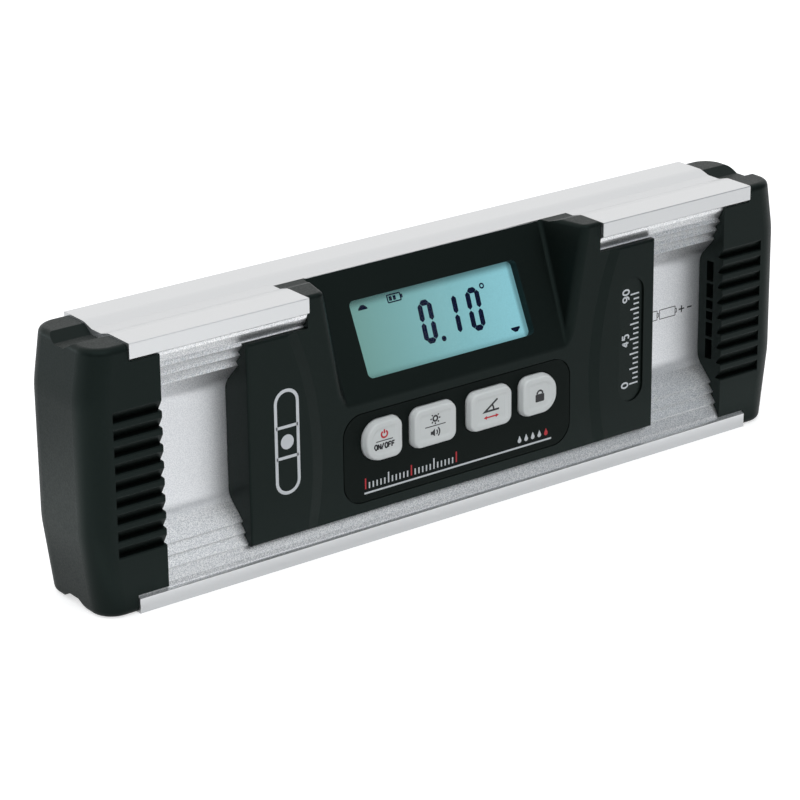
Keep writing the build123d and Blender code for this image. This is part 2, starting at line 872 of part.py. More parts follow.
# Rear cover profile, from its joint with the housing round the bulge behind the display
cover_half = module_half - cover_gap
cover_front = -module_back + cover_gap
cover_back = web_inner - cover_gap
cover_deep = cover_back + cover_bulge
cover_floor = notch_floor + cover_gap
cover_top = beam_height - flange_wall - cover_top_gap
bulge_start = beam_height - web_drop
bulge_rise = cover_bulge * (web_drop - shoulder_drop) / (web_setback - shoulder_setback)


def cover_profile(wall):
    """Corners of the rear cover's section in Y and Z, drawn in by wall and open at the joint."""
    return [
        (cover_front, cover_floor + wall),
        (cover_back - wall, cover_floor + wall),
        (cover_back - wall, bulge_start),
        (cover_deep - wall, bulge_start + bulge_rise),
        (cover_deep - wall, cover_top - wall),
        (cover_front, cover_top - wall),
    ]


with BuildPart() as rear_cover:
    with BuildSketch(Plane.YZ):
        Polygon(*cover_profile(0), align=None)
    extrude(amount=cover_half, both=True)
    with BuildSketch(Plane.YZ):
        Polygon(*cover_profile(cover_wall), align=None)
    extrude(amount=cover_half - cover_wall, both=True, mode=Mode.SUBTRACT)
    for x, z in cover_screws_at:
        rear = cover_back if z < bulge_start else cover_deep
        rod(boss_diameter, -cover_front, -rear, x, z)
        rod(small_shank + 2 * slide_gap, -cover_front, -rear, x, z, Mode.SUBTRACT)
        rod(small_head + 2 * slide_gap, -rear + cover_wall, -rear, x, z, Mode.SUBTRACT)
rear_cover.part.label = "rear_cover"
export_step(rear_cover.part, "parts/rear_cover.step")

with BuildPart() as cover_gasket:
    block((-cover_half, cover_half), (-module_back, cover_front), (cover_floor, cover_top))
    inner_half = cover_half - cover_wall
    block(
        (-inner_half, inner_half),
        (-module_back, cover_front),
        (cover_floor + cover_wall, cover_top - cover_wall),
        mode=Mode.SUBTRACT,
    )
cover_gasket.part.label = "cover_gasket"
export_step(cover_gasket.part, "parts/cover_gasket.step")


def back_plane(y):
    """Plane facing backwards at a place along Y, its second direction up."""
    return Plane(origin=(0, y, 0), x_dir=(-1, 0, 0), z_dir=(0, 1, 0))


def screw(seat, place, length, shank, head, head_height):
    """Add one screw whose head stands on the seat plane, with a hexagon drive."""
    with BuildSketch(seat.offset(-length)) as shank_face:
        with Locations(place):
            Circle(shank / 2)
    extrude(shank_face.sketch, amount=length)
    with BuildSketch(seat) as head_face:
        with Locations(place):
            Circle(head / 2)
    extrude(head_face.sketch, amount=head_height)
    with BuildSketch(seat.offset(head_height)) as drive:
        with Locations(place):
            RegularPolygon(shank / 2, 6)
    extrude(drive.sketch, amount=-drive_depth, mode=Mode.SUBTRACT)


with BuildPart() as board_screws:
    for x, z in board_screws_at:
        reach = board_thickness + small_length - fit_gap
        screw(back_plane(-board_back), (-x, z), reach, small_shank, small_head, small_head_height)
board_screws.part.label = "board_screws"
export_step(board_screws.part, "parts/board_screws.step")

with BuildPart() as cover_screws:
    for x, z in cover_screws_at:
        rear = cover_back if z < bulge_start else cover_deep
        seat = rear - cover_wall
        reach = seat + module_back + small_length - fit_gap
        screw(back_plane(seat), (-x, z), reach, small_shank, small_head, small_head_height)
cover_screws.part.label = "cover_screws"
export_step(cover_screws.part, "parts/cover_screws.step")

with BuildPart() as housing_screws:
    for x, z in pillar_places:
        screw(back_plane(web_face), (-x, z), large_length, large_shank, large_head, large_head_height)
housing_screws.part.label = "housing_screws"
export_step(housing_screws.part, "parts/housing_screws.step")

frame_seat = Plane(
    origin=(0, *panel_point(0, frame_end)), x_dir=(-1, 0, 0), z_dir=(0, cos(tilt), -sin(tilt))
)
with BuildPart() as display_screws:
    for x, along in frame_screws_at:
        reach = frame_end - panel_wall / 2
        screw(frame_seat, (-x, along), reach, small_shank, small_head, small_head_height)
display_screws.part.label = "display_screws"
export_step(display_screws.part, "parts/display_screws.step")

# Battery tube in the lower chamber, with its cells in line and the cap's contact at the mouth
with BuildPart() as battery_tube:
    rod_along_x(tube_diameter, tube_start, tube_mouth, tube_height)
    rail_half = tube_rail_width / 2
    block((tube_start, tube_mouth), (-rail_half, rail_half), (tube_height, rail_top))
    foot_half = foot_width / 2
    for middle in (tube_start + foot_length, (tube_start + tube_mouth) / 2):
        block(
            (middle - foot_length / 2, middle + foot_length / 2),
            (-foot_half, foot_half),
            (flange_wall, tube_height),
        )
    with BuildSketch(Plane.YZ.offset(tube_mouth - tube_flange)):
        Polygon(*hollow_points(seat_gap), align=None)
        with Locations((0, rail_top)):
            Rectangle(
                beam_depth,
                beam_height,
                align=(Align.CENTER, Align.MAX),
                mode=Mode.INTERSECT,
            )
    extrude(amount=tube_flange)
    rod_along_x(tube_bore, plate_start, tube_mouth, tube_height, Mode.SUBTRACT)
    rod_along_x(pin_diameter + 2 * seat_gap, tube_start, plate_start, tube_height, Mode.SUBTRACT)
battery_tube.part.label = "battery_tube"
export_step(battery_tube.part, "parts/battery_tube.step")

cell_drop = (tube_bore - cell_diameter) / 2 - seat_gap
for name, start in zip(("battery_inner", "battery_outer"), cell_starts):
    with BuildPart() as cell:
        rod_along_x(cell_diameter, start + nub_length, start + cell_length, tube_height - cell_drop)
        rod_along_x(nub_diameter, start, start + nub_length, tube_height - cell_drop)
    cell.part.label = name
    export_step(cell.part, "parts/" + name + ".step")

with BuildPart() as inner_contact:
    rod_along_x(contact_diameter, plate_start, plate_start + contact_thickness, tube_height)
    rod_along_x(pin_diameter, tail_end, plate_start, tube_height)
inner_contact.part.label = "inner_contact"
export_step(inner_contact.part, "parts/inner_contact.step")

with BuildPart() as return_strip:
    strip_half = strip_width / 2
    block((tail_end, tube_mouth), (-strip_half, strip_half), (rail_top, rail_top + strip_thickness))
return_strip.part.label = "return_strip"
export_step(return_strip.part, "parts/return_strip.step")

with BuildPart() as battery_leads:
    strip_height = rail_top + strip_thickness / 2
    for x, z in ((lead_x, strip_height), (lead_x - lead_spacing, tube_height)):
        with BuildLine() as route:
            FilletPolyline(
                (tail_end, 0, z),
                (tail_end - lead_bend / 2, 0, z),
                (x, -lead_forward, z),
                (x, -lead_forward, lead_height),
                (x, -board_back, lead_height),
                radius=lead_bend,
            )
        with BuildSketch(Plane.YZ.offset(tail_end)) as lead_end:
            with Locations((0, z)):
                Circle(lead_diameter / 2)
        sweep(lead_end.sketch, path=route.wire())
battery_leads.part.label = "battery_leads"
export_step(battery_leads.part, "parts/battery_leads.step")

with BuildPart() as lead_grommet:
    with BuildSketch(Plane.XY.offset(module_floor)):
        grommet_slot(grommet_radius)
    extrude(amount=housing_wall)
    with BuildSketch(Plane.XY.offset(module_floor - grommet_flange)):
        grommet_slot(grommet_radius + grommet_lip / 2)
    extrude(amount=grommet_flange)
    with BuildSketch(Plane.XY.offset(module_floor - grommet_flange)):
        with Locations((lead_x, -lead_forward), (lead_x - lead_spacing, -lead_forward)):
            Circle(lead_diameter / 2 + seat_gap)
    extrude(amount=grommet_flange + housing_wall, mode=Mode.SUBTRACT)
lead_grommet.part.label = "lead_grommet"
export_step(lead_grommet.part, "parts/lead_grommet.step")

with BuildPart() as cap_contact:
    rod_along_x(contact_diameter, spigot_tip - contact_thickness, spigot_tip, tube_height)
    with BuildSketch(Plane.XZ):
        with BuildLine():
            leaf = contact_thickness / 2
            Polyline(
                (spigot_tip - leaf, tube_height + contact_width / 2),
                (cell_end + leaf + seat_gap, tube_height),
                (cell_end + leaf + seat_gap, tube_height - contact_width / 2),
            )
        trace(line_width=contact_thickness)
    extrude(amount=contact_width / 2, both=True)
cap_contact.part.label = "cap_contact"
export_step(cap_contact.part, "parts/cap_contact.step")

with BuildPart() as cap_seal:
    with BuildSketch(Plane.YZ.offset(seal_low)):
        with Locations((0, tube_height)):
            Circle(tube_bore / 2 - seat_gap)
            Circle(spigot_diameter / 2 - seal_groove, mode=Mode.SUBTRACT)
    extrude(amount=seal_width)
cap_seal.part.label = "cap_seal"
export_step(cap_seal.part, "parts/cap_seal.step")
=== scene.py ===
import json
import math

import bpy
import numpy as np
from mathutils import Matrix, Vector


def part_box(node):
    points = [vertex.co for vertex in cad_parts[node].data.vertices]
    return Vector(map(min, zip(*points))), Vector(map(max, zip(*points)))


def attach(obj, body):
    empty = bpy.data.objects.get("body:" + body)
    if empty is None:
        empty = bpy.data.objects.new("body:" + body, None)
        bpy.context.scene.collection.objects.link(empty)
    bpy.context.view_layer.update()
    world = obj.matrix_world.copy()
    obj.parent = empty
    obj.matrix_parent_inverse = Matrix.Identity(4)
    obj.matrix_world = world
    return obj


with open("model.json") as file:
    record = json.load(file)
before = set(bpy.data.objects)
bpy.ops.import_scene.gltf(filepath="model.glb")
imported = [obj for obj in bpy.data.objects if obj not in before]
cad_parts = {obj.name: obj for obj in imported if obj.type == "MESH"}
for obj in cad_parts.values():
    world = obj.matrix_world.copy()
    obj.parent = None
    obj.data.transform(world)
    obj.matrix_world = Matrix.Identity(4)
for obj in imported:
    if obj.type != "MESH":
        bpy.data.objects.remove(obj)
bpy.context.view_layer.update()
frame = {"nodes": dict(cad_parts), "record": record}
scene = bpy.context.scene
MM = 0.001
WHITE = (1.0, 1.0, 1.0, 1.0)

# Camera of the photograph: angles in degrees, places in metres, lens and sensor in millimetres
CAMERA_BEARING = -36.69
CAMERA_HEIGHT = 21.161
CAMERA_ROLL = -0.679
CAMERA_DISTANCE = 837.3 * MM
CAMERA_TARGET = Vector((-9.181 * MM, 0.0, 30.431 * MM))
CAMERA_NEAREST = 0.01
CAMERA_LENS = 141.29
CAMERA_SENSOR = 36.0

# Printed marks are thin solids, sunk a little into the surface that carries them
PRINT_PROUD = 0.03 * MM
PRINT_SUNK = 0.02 * MM

# Inclined display: the panel starts at the crease and leans back
PANEL_TILT = math.radians(24.984)
CREASE_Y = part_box("keypad_panel")[0].y
CREASE_Z = 39.2 * MM
DISPLAY_DEPTH = 3.7 * MM
FILM_THICKNESS = 0.06 * MM

# The beam's web lies this far from its middle, and its finish changes over these spans
WEB_Y = 5.7 * MM
WEB_EDGE = (WEB_Y + 0.2 * MM, WEB_Y + 2.0 * MM)
LIP_INSET = (0.3 * MM, 0.1 * MM)
LEDGE_INSET = (2.0 * MM, 0.8 * MM)
STRIP_INSET = (1.4 * MM, 1.2 * MM)

# Noises: the slow one's scale beside the fine one's, and the spans that most of one lies in
SLOW_SHARE = 0.03
NOISE_SPAN = (0.3, 0.7)
SPARKLE_SPAN = (0.36, 0.64)
FULL_SPAN = (0.0, 1.0)

# Share of the blasted grain that is left on the web, the ledges and the strips, and its depth
WEB_GRAIN = 0.4
LEDGE_GRAIN = 0.15
STRIP_GRAIN = 0.3
GRAIN_DEPTH = 0.07 * MM

# What the floor adds, as a share of white: to the camera everywhere, and to gloss and glass far
# in front at the left and the right, near the front foot and by the left cap's foot
FLOOR_LIFT = 0.6
FRONT_LIFT = 0.4
FRONT_LIFT_RIGHT = 0.22
NEAR_LIFT = 1.0
SIDE_LIFT = 1.0

# Share of the front's lift that is left behind the level and under it
BACK_SHARE = 0.1
CONTACT_SHARE = 0.3

# Where each of those changes on the floor, in metres along X or along Y
FRONT_X = (0.0, 0.2)
NEAR_Y = (-0.06, -0.024)
BACK_Y = (0.0, 0.03)
CONTACT_Y = (0.021, 0.026)
SIDE_X = (-0.14, -0.118)
SIDE_START_Y = (-0.01, 0.01)
SIDE_END_Y = (0.05, 0.12)

# Points on the round parts of marks
ARC_POINTS = 25
RING_POINTS = 24
DISC_POINTS = 23
DROP_POINTS = 17
FRAME_CORNER_POINTS = 8
PLATE_CORNER_POINTS = 9

# In degrees: a ring's last point, how near a filled mark's bar comes to its own end, and where a
# drop's round foot turns into its taper
RING_LAST = 345
FILLED_EDGE = 4
DROP_TURN = 30

# A drop's tip as shares of its radius, and an arrow's as a share of its width
DROP_RISE = 2.3
DROP_TIP = 0.1
ARROW_TIP = 0.3

# Letters and display segments, as shares of their height or of their bar
LETTER_WIDTH = 0.62
DIGIT_LEAN = 0.062
SEGMENT_GAP = 0.1
SEGMENT_TAPER = 0.42
SEGMENT_TIP = 0.1


# Flat marks as solids, drawn in millimetres

def stroke(path, width, closed=False):
    """A bar carried along a path in its plane.

    Each point is set off to both sides along the path's normal by half the width there, divided
    by the cosine of half the turn, so that the bar keeps its width round corners.
    """
    points = np.asarray(path, float)
    wide = np.broadcast_to(np.asarray(width, float), len(points))
    if closed:
        before = points - np.roll(points, 1, axis=0)
        after = np.roll(points, -1, axis=0) - points
    else:
        steps = np.diff(points, axis=0)
        before = np.vstack([steps[:1], steps])
        after = np.vstack([steps, steps[-1:]])
    before = before / np.linalg.norm(before, axis=1, keepdims=True)
    after = after / np.linalg.norm(after, axis=1, keepdims=True)
    along = before + after
    along = along / np.linalg.norm(along, axis=1, keepdims=True)
    across = np.stack([-along[:, 1], along[:, 0]], axis=1)
    reach = (wide / 2 / np.sum(along * before, axis=1))[:, None]
    return points + across * reach, points - across * reach, closed


def plane(origin, right, up):
    """A drawing plane: its origin, its two directions and the outward normal, right cross up."""
    right, up = np.array(right, float), np.array(up, float)
    return np.array(origin, float), right, up, np.cross(right, up)


def front_plane(y):
    """The plane that faces the front at a place along Y, drawn in X and Z."""
    return plane((0, y, 0), (1, 0, 0), (0, 0, 1))


def stroke_solid(bar, on, sunk, proud):
    """Corners and faces of one bar as a closed solid.

    The section is a rectangle of four corners, left and right by outer and inner side, carried
    along the bar. The ends are closed, or the last section joins the first.
    """
    left, right, closed = bar
    origin, across, up, out = on
    flat = MM * np.stack([left, left, right, right], axis=1)
    rise = np.array([proud, -sunk, -sunk, proud])
    corners = (
        origin
        + flat[..., :1] * across
        + flat[..., 1:] * up
        + rise[None, :, None] * out
    )
    count = len(left)
    spans = np.arange(count if closed else count - 1)
    side = np.arange(4)
    here, following = spans[:, None] * 4, ((spans + 1) % count)[:, None] * 4
    turn = (side + 1) % 4
    around = [here + side, following + side, following + turn, here + turn]
    faces = np.stack(around, axis=-1).reshape(-1, 4)
    if not closed:
        last = (count - 1) * 4
        faces = np.vstack([faces, [[0, 1, 2, 3]], [[last + 3, last + 2, last + 1, last]]])
    return corners.reshape(-1, 3), faces


def piece(name, corners, faces, material, body):
    """A mesh object at the origin, with its place in its mesh, that rides on a body."""
    mesh = bpy.data.meshes.new(name)
    mesh.from_pydata(corners.tolist(), [], faces.tolist())
    mesh.materials.append(material)
    made = bpy.data.objects.new(name, mesh)
    scene.collection.objects.link(made)
    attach(made, body)


def marks(name, bars, on, material, body="level_body", sunk=PRINT_SUNK, proud=PRINT_PROUD):
    """One piece of several bars on one plane."""
    solids = [stroke_solid(bar, on, sunk, proud) for bar in bars]
    starts = np.cumsum([0] + [len(corners) for corners, _ in solids[:-1]])
    corners = np.vstack([corners for corners, _ in solids])
    faces = np.vstack([faces + start for start, (_, faces) in zip(starts, solids)])
    piece(name, corners, faces, material, body)


def moved(bars, right, up, quarter_turn=False):
    """Bars turned a quarter to the left, if asked, and then shifted."""
    def place(edge):
        turned = np.stack([-edge[:, 1], edge[:, 0]], axis=1) if quarter_turn else edge
        return turned + (right, up)
    return [(place(left), place(other), closed) for left, other, closed in bars]


def line(x0, y0, x1, y1, width):
    """A straight bar between two points."""
    return stroke([(x0, y0), (x1, y1)], width)


def arc_points(x, y, radius, start, end, count=ARC_POINTS):
    """Points on a circle's arc between two angles in degrees."""
    angle = np.radians(np.linspace(start, end, count))
    return np.stack([x + radius * np.cos(angle), y + radius * np.sin(angle)], axis=1)


def ring(x, y, radius, width):
    """A closed round bar."""
    return stroke(arc_points(x, y, radius, 0, RING_LAST, RING_POINTS), width, closed=True)


def disc(x, y, radius):
    """A filled disc: a bar across it whose width at each point is the chord there."""
    angle = np.radians(np.linspace(FILLED_EDGE, 180 - FILLED_EDGE, DISC_POINTS))
    path = np.stack([x - radius * np.cos(angle), np.full(len(angle), y)], axis=1)
    return stroke(path, 2 * radius * np.sin(angle))


def wedge(x0, y0, x1, y1, wide, narrow):
    """A filled wedge from one width to another."""
    return stroke([(x0, y0), (x1, y1)], [wide, narrow])


def arrow(x, y, width, rise):
    """A filled arrow head: a bar from its foot, full for a third of its rise and then tapered."""
    path = [(x, y), (x, y + rise / 3), (x, y + rise)]
    return stroke(path, [width, width, ARROW_TIP * width])


def drop(x, y, radius):
    """A filled water drop: a bar upwards whose width is a half circle and then a straight taper."""
    angle = np.radians(np.linspace(FILLED_EDGE - 90, DROP_TURN, DROP_POINTS))
    rise = np.append(radius * np.sin(angle), DROP_RISE * radius)
    width = np.append(2 * radius * np.cos(angle), DROP_TIP * radius)
    return stroke(np.stack([np.full(len(rise), x), y + rise], axis=1), width)


def rounded_frame(x, y, width, height, corner, bar):
    """A closed bar round a rectangle with round corners, a quarter of an arc at each."""
    reach_x, reach_y = width / 2 - corner, height / 2 - corner
    quarters = [(1, -1, -90), (1, 1, 0), (-1, 1, 90), (-1, -1, 180)]
    path = []
    for side, end, start in quarters:
        middle_x, middle_y = x + side * reach_x, y + end * reach_y
        path.append(arc_points(middle_x, middle_y, corner, start, start + 90, FRAME_CORNER_POINTS))
    return stroke(np.vstack(path), bar, closed=True)


def rounded_plate(x, y, width, height, corner):
    """A filled rectangle with round corners: a bar along it whose width follows the corners."""
    angle = np.radians(np.linspace(FILLED_EDGE, 90, PLATE_CORNER_POINTS))
    inset = corner * (1 - np.sin(angle))
    from_end = corner * (1 - np.cos(angle))
    run = np.concatenate([from_end, width - from_end[::-1]])
    wide = np.concatenate([height - 2 * inset, (height - 2 * inset)[::-1]])
    return stroke(np.stack([x - width / 2 + run, np.full(len(run), y)], axis=1), wide)


# Numerals and letters drawn as bars in a box of the given height

STRAIGHT_LETTERS = {
    "N": [((0, 0), (0, 1)), ((0, 1), (1, 0)), ((1, 0), (1, 1))],
    "F": [((0, 0), (0, 1)), ((0, 0.97), (0.95, 0.97)), ((0, 0.52), (0.8, 0.52))],
    "/": [((0, -0.1), (0.8, 1.1))],
    "4": [((0.72, 0), (0.72, 1)), ((0.72, 1), (0, 0.3)), ((0, 0.3), (1, 0.3))],
}


def letter(kind, x, y, height, bar):
    """A plain capital or numeral whose lower left corner is at x, y.

    Straight letters are bars between points of their box. O and 0 are an oval that fills it, 5 is
    a hook with a bowl below, and 9 is an oval with a tail.
    """
    wide = LETTER_WIDTH * height

    def at(u, v):
        return (x + u * wide, y + v * height)

    if kind in STRAIGHT_LETTERS:
        return [stroke([at(*start), at(*end)], bar) for start, end in STRAIGHT_LETTERS[kind]]
    if kind in "O0":
        round_part = arc_points(0, 0, 1, 0, RING_LAST, RING_POINTS)
        path = [at(0.5 + 0.5 * u, 0.5 + 0.5 * v) for u, v in round_part]
        return [stroke(path, bar, closed=True)]
    if kind == "5":
        bowl = arc_points(0.45, 0.32, 0.36, 130, -140, 18)
        path = [at(u * 1.15, v) for u, v in bowl]
        return [stroke([at(0.9, 0.97), at(0.18, 0.97), at(0.12, 0.58)], bar), stroke(path, bar)]
    bowl = arc_points(0.5, 0.68, 0.3, 0, RING_LAST, 20)
    tail = arc_points(0.5, 0.45, 0.42, 20, -110, 14)
    return [
        stroke([at(0.5 + (u - 0.5) * 1.6, v) for u, v in bowl], bar, closed=True),
        stroke([at(0.5 + (u - 0.5) * 1.15, v) for u, v in tail], bar),
    ]


def word(text, x, y, height, bar, pitch):
    """Letters side by side from x, one pitch apart."""
    bars = []
    for place, kind in enumerate(text):
        bars += letter(kind, x + place * pitch, y, height, bar)
    return bars


def segment_digit(x, y, width, height, bar, lit):
    """Seven-segment digit: each bar is a hexagon, full between its ends and tapered to a point."""
    def at(u, v):
        return np.array([x + u * width + DIGIT_LEAN * v * height, y + v * height])

    ends = {
        "a": (at(0, 1), at(1, 1)),
        "b": (at(1, 1), at(1, 0.5)),
        "c": (at(1, 0.5), at(1, 0)),
        "d": (at(0, 0), at(1, 0)),
        "e": (at(0, 0.5), at(0, 0)),
        "f": (at(0, 1), at(0, 0.5)),
        "g": (at(0, 0.5), at(1, 0.5)),
    }
    bars = []
    for name in lit:
        first, last = ends[name]
        step = (last - first) / np.linalg.norm(last - first)
        gap, taper = SEGMENT_GAP * bar * step, SEGMENT_TAPER * bar * step
        path = [first + gap, first + gap + taper, last - gap - taper, last - gap]
        bars.append(stroke(path, [SEGMENT_TIP * bar, bar, bar, SEGMENT_TIP * bar]))
    return bars


# Shader building blocks

def feed(tree, socket, value):
    """Give a socket a value, or link it from another socket."""
    if isinstance(value, bpy.types.NodeSocket):
        tree.links.new(value, socket)
    else:
        socket.default_value = value


def set_inputs(tree, node, **inputs):
    """Feed a node's inputs by name, with an underscore for each blank."""
    for key, value in inputs.items():
        feed(tree, node.inputs[key.replace("_", " ")], value)


def add_node(tree, kind, settings=None, **inputs):
    """A node with its settings and its inputs."""
    made = tree.nodes.new(kind)
    for key, value in (settings or {}).items():
        setattr(made, key, value)
    set_inputs(tree, made, **inputs)
    return made


def calc(tree, operation, *values):
    """The result of one Math node."""
    made = add_node(tree, "ShaderNodeMath", {"operation": operation})
    for socket, value in zip(made.inputs, values):
        feed(tree, socket, value)
    return made.outputs[0]


def larger(tree, first, second):
    """The larger of two values."""
    return calc(tree, "MAXIMUM", first, second)


def multiply(tree, first, second):
    """The product of two values."""
    return calc(tree, "MULTIPLY", first, second)


def blend(tree, factor, low, high):
    """Colour between two colours by a factor; a Mix node's colour sockets go by number."""
    made = add_node(tree, "ShaderNodeMix", {"data_type": "RGBA"})
    for number, value in ((0, factor), (6, low), (7, high)):
        feed(tree, made.inputs[number], value)
    return made.outputs[2]


def ramp(tree, value, span, to, smooth=True):
    """A value carried from one span to another, eased at both ends or straight."""
    kind = "SMOOTHSTEP" if smooth else "LINEAR"
    made = add_node(
        tree, "ShaderNodeMapRange", {"interpolation_type": kind},
        Value=value, From_Min=span[0], From_Max=span[1], To_Min=to[0], To_Max=to[1],
    )
    return made.outputs["Result"]


def bump(tree, height, depth):
    """A bump normal of the given depth."""
    made = add_node(tree, "ShaderNodeBump", Strength=1.0, Distance=depth, Height=height)
    return made.outputs["Normal"]


def colour(red, green, blue):
    """A colour from 0 to 255 sRGB values, as the linear values that shaders take."""
    def linear(value):
        share = value / 255
        return share / 12.92 if share <= 0.04045 else ((share + 0.055) / 1.055) ** 2.4

    return (linear(red), linear(green), linear(blue), 1.0)


def make_grain():
    """Group: fine grain height and slow drift of tone over a surface, from two noises."""
    group = bpy.data.node_groups.new("surface_grain", "ShaderNodeTree")
    group.interface.new_socket("Vector", in_out="INPUT", socket_type="NodeSocketVector")
    group.interface.new_socket("Scale", in_out="INPUT", socket_type="NodeSocketFloat")
    group.interface.new_socket("Height", in_out="OUTPUT", socket_type="NodeSocketFloat")
    group.interface.new_socket("Drift", in_out="OUTPUT", socket_type="NodeSocketFloat")
    given = add_node(group, "NodeGroupInput").outputs
    fine = add_node(group, "ShaderNodeTexNoise", Vector=given["Vector"], Scale=given["Scale"],
                    Detail=2.0, Roughness=0.6)
    slow_scale = multiply(group, given["Scale"], SLOW_SHARE)
    slow = add_node(group, "ShaderNodeTexNoise", Vector=given["Vector"], Scale=slow_scale,
                    Detail=3.0)
    add_node(group, "NodeGroupOutput", Height=fine.outputs["Fac"], Drift=slow.outputs["Fac"])
    return group


GRAIN = make_grain()


def new_material(name):
    """A material with its node tree, its Principled shader and its Object coordinates."""
    material = bpy.data.materials.new(name)
    material.use_nodes = True
    tree = material.node_tree
    shader = tree.nodes["Principled BSDF"]
    place = add_node(tree, "ShaderNodeTexCoord").outputs["Object"]
    return material, tree, shader, place


def grain_on(tree, place, scale):
    """The grain group's outputs, Height and Drift, in a material."""
    made = add_node(tree, "ShaderNodeGroup", {"node_tree": GRAIN}, Vector=place, Scale=scale)
    return made.outputs


# Finishes

def moulded(name, low, high, rough, grain, depth, specular=0.5, sheen=WHITE):
    """Moulded or coated surface: fine grain in the bump and roughness, a slow drift in colour."""
    material, tree, shader, place = new_material(name)
    surface = grain_on(tree, place, grain)
    set_inputs(
        tree, shader,
        Base_Color=blend(tree, surface["Drift"], low, high),
        Roughness=ramp(tree, surface["Height"], NOISE_SPAN, rough),
        Normal=bump(tree, surface["Height"], depth),
        Specular_IOR_Level=specular,
        Specular_Tint=sheen,
    )
    return material


def blasted_aluminium(lip_y, middle_z):
    """Anodised aluminium: blasted and sparkling in the recesses, milled smooth on lips and strips.

    The milled share is one where the place lies on a lip's face or within the strips' depth. The
    grain is full on the ribs and slopes, and weaker on the web, the ledges and the strips.
    """
    material, tree, shader, place = new_material("blasted_aluminium")
    parts = add_node(tree, "ShaderNodeSeparateXYZ", Vector=place).outputs
    height = grain_on(tree, place, 3300.0)["Height"]
    from_middle = calc(tree, "ABSOLUTE", parts["Y"])
    from_centre = calc(tree, "ABSOLUTE", calc(tree, "SUBTRACT", parts["Z"], middle_z))

    def inside(edge, inset):
        return edge - inset[0], edge - inset[1]

    on_lip = ramp(tree, from_middle, inside(lip_y, LIP_INSET), FULL_SPAN)
    on_strip = ramp(tree, from_centre, inside(middle_z, STRIP_INSET), FULL_SPAN)
    milled = larger(tree, on_lip, on_strip)
    off_ledge = ramp(tree, from_middle, inside(lip_y, LEDGE_INSET), (1.0, LEDGE_GRAIN))
    off_strip = ramp(tree, on_strip, FULL_SPAN, (1.0, STRIP_GRAIN), smooth=False)
    off_web = ramp(tree, from_middle, WEB_EDGE, (WEB_GRAIN, 1.0))
    grain = multiply(tree, height, multiply(tree, off_web, multiply(tree, off_ledge, off_strip)))
    sparkle = ramp(tree, height, SPARKLE_SPAN, FULL_SPAN)
    coarse = blend(tree, sparkle, colour(205, 207, 210), colour(255, 255, 255))
    blasted = blend(tree, off_web, colour(228, 230, 233), coarse)
    rough = ramp(tree, off_web, (WEB_GRAIN, 1.0), (0.46, 0.36))
    smoothed = ramp(tree, milled, FULL_SPAN, (1.0, 0.83))
    set_inputs(
        tree, shader,
        Base_Color=blend(tree, milled, blasted, colour(219, 220, 221)),
        Roughness=multiply(tree, rough, smoothed),
        Normal=bump(tree, grain, GRAIN_DEPTH),
        Metallic=1.0,
    )
    return material


def plated_steel():
    """Plated steel: light metal with fine specks in its gloss."""
    material, tree, shader, place = new_material("plated_steel")
    surface = grain_on(tree, place, 3500.0)
    set_inputs(
        tree, shader,
        Base_Color=blend(tree, surface["Drift"], colour(176, 176, 178), colour(206, 206, 208)),
        Roughness=ramp(tree, surface["Height"], NOISE_SPAN, (0.25, 0.42)),
        Metallic=1.0,
    )
    return material


def clear_window():
    """Clear acrylic window."""
    material, tree, shader, place = new_material("clear_window")
    drift = grain_on(tree, place, 300.0)["Drift"]
    set_inputs(
        tree, shader,
        Roughness=ramp(tree, drift, NOISE_SPAN, (0.01, 0.04)),
        Base_Color=(0.97, 0.99, 0.99, 1.0),
        Transmission_Weight=1.0,
        IOR=1.2,
    )
    return material


def lit_display(left, right, foot, top):
    """Lit display film: green at the left, blue at the right, with painted shade along its rims."""
    material, tree, shader, place = new_material("lit_display")
    parts = add_node(tree, "ShaderNodeSeparateXYZ", Vector=place).outputs
    x, z = parts["X"], parts["Z"]
    height = grain_on(tree, place, 2600.0)["Height"]
    across = ramp(tree, x, (left, right), FULL_SPAN, smooth=False)
    glow = blend(tree, across, colour(106, 148, 142), colour(138, 197, 209))
    speck = ramp(tree, height, NOISE_SPAN, (0.92, 1.0))
    # Painted shade: the glow is darkened towards dark green under the opening's top and right edges
    # as a painted shadow, and less along its left edge and foot
    painted_shadow_under_top = ramp(tree, z, (top - 2.2 * MM, top), (1.0, 0.35))
    painted_shadow_by_right = ramp(tree, x, (right - 1.3 * MM, right), (1.0, 0.5))
    by_left = ramp(tree, x, (left, left + 2.5 * MM), (0.72, 1.0))
    by_foot = ramp(tree, z, (foot, foot + 1.5 * MM), (0.72, 1.0))
    painted_shadow_far_rims = multiply(tree, painted_shadow_under_top, painted_shadow_by_right)
    painted_rim_shade = multiply(tree, painted_shadow_far_rims, multiply(tree, by_left, by_foot))
    set_inputs(
        tree, shader,
        Emission_Color=blend(tree, multiply(tree, painted_rim_shade, speck), colour(16, 34, 30), glow),
        Emission_Strength=1.0,
        Base_Color=colour(40, 56, 54),
        Roughness=0.6,
        Specular_IOR_Level=0.1,
    )
    return material


def cell_wrap(start, end):
    """Shrink wrap of two battery cells: dark, with a copper band at each end with the nub."""
    material, tree, shader, place = new_material("cell_wrap")
    x = add_node(tree, "ShaderNodeSeparateXYZ", Vector=place).outputs["X"]
    surface = grain_on(tree, place, 900.0)
    pitch = (end - start) / 2
    along_cell = calc(tree, "WRAP", calc(tree, "SUBTRACT", x, start), pitch, 0.0)
    band = ramp(tree, along_cell, (9.8 * MM, 10.2 * MM), (1.0, 0.0))
    wrap = blend(tree, surface["Drift"], colour(38, 42, 48), colour(52, 56, 62))
    set_inputs(
        tree, shader,
        Base_Color=blend(tree, band, wrap, colour(176, 112, 62)),
        Roughness=ramp(tree, surface["Height"], NOISE_SPAN, (0.3, 0.42)),
    )
    return material


